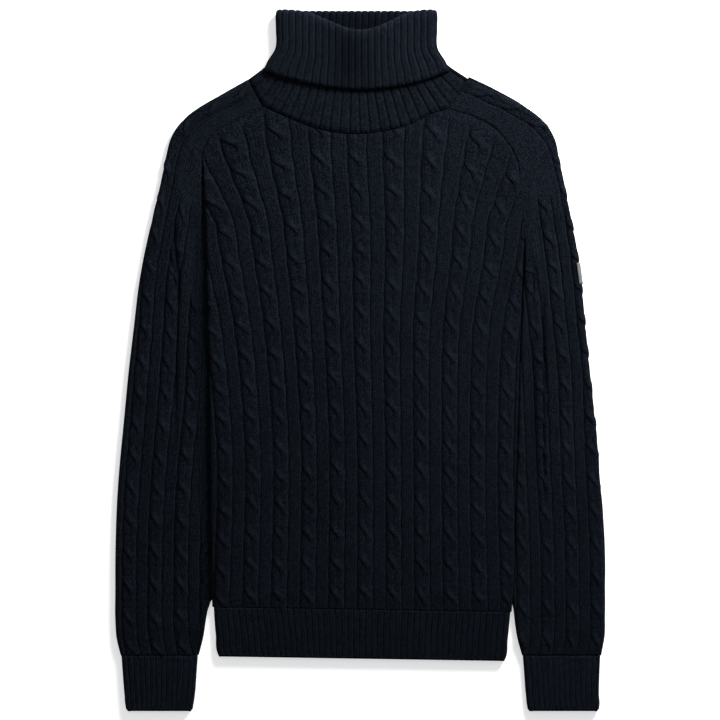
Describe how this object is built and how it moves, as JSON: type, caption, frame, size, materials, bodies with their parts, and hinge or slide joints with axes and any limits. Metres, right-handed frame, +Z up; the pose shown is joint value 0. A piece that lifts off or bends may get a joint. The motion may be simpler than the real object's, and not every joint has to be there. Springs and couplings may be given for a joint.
{
  "type": "turtleneck sweater",
  "caption": "Slim cable-knit turtleneck sweater laid flat, with saddle shoulders, a turned-down ribbed collar, ribbed hem and cuffs, and a plain sleeve tab.",
  "frame": {"origin": "the middle of the sweater's outline, on the surface that it lies on", "axes": "+X across the sweater to the viewer's right, +Y up the sweater towards the collar, +Z up from the surface, with the front of the sweater on top"},
  "size_m": [0.5622, 0.8062, 0.0116],
  "materials": {
    "navy_knit": "matte",
    "navy_rib": "matte",
    "woven_label": "satin"
  },
  "bodies": {
    "root": {"front_panel": "navy_knit", "back_panel": "navy_knit", "left_sleeve": "navy_knit", "right_sleeve": "navy_knit", "collar": "navy_rib", "hem_band": "navy_rib", "left_cuff": "navy_rib", "right_cuff": "navy_rib", "sleeve_label": "woven_label"}
  },
  "joints": []
}
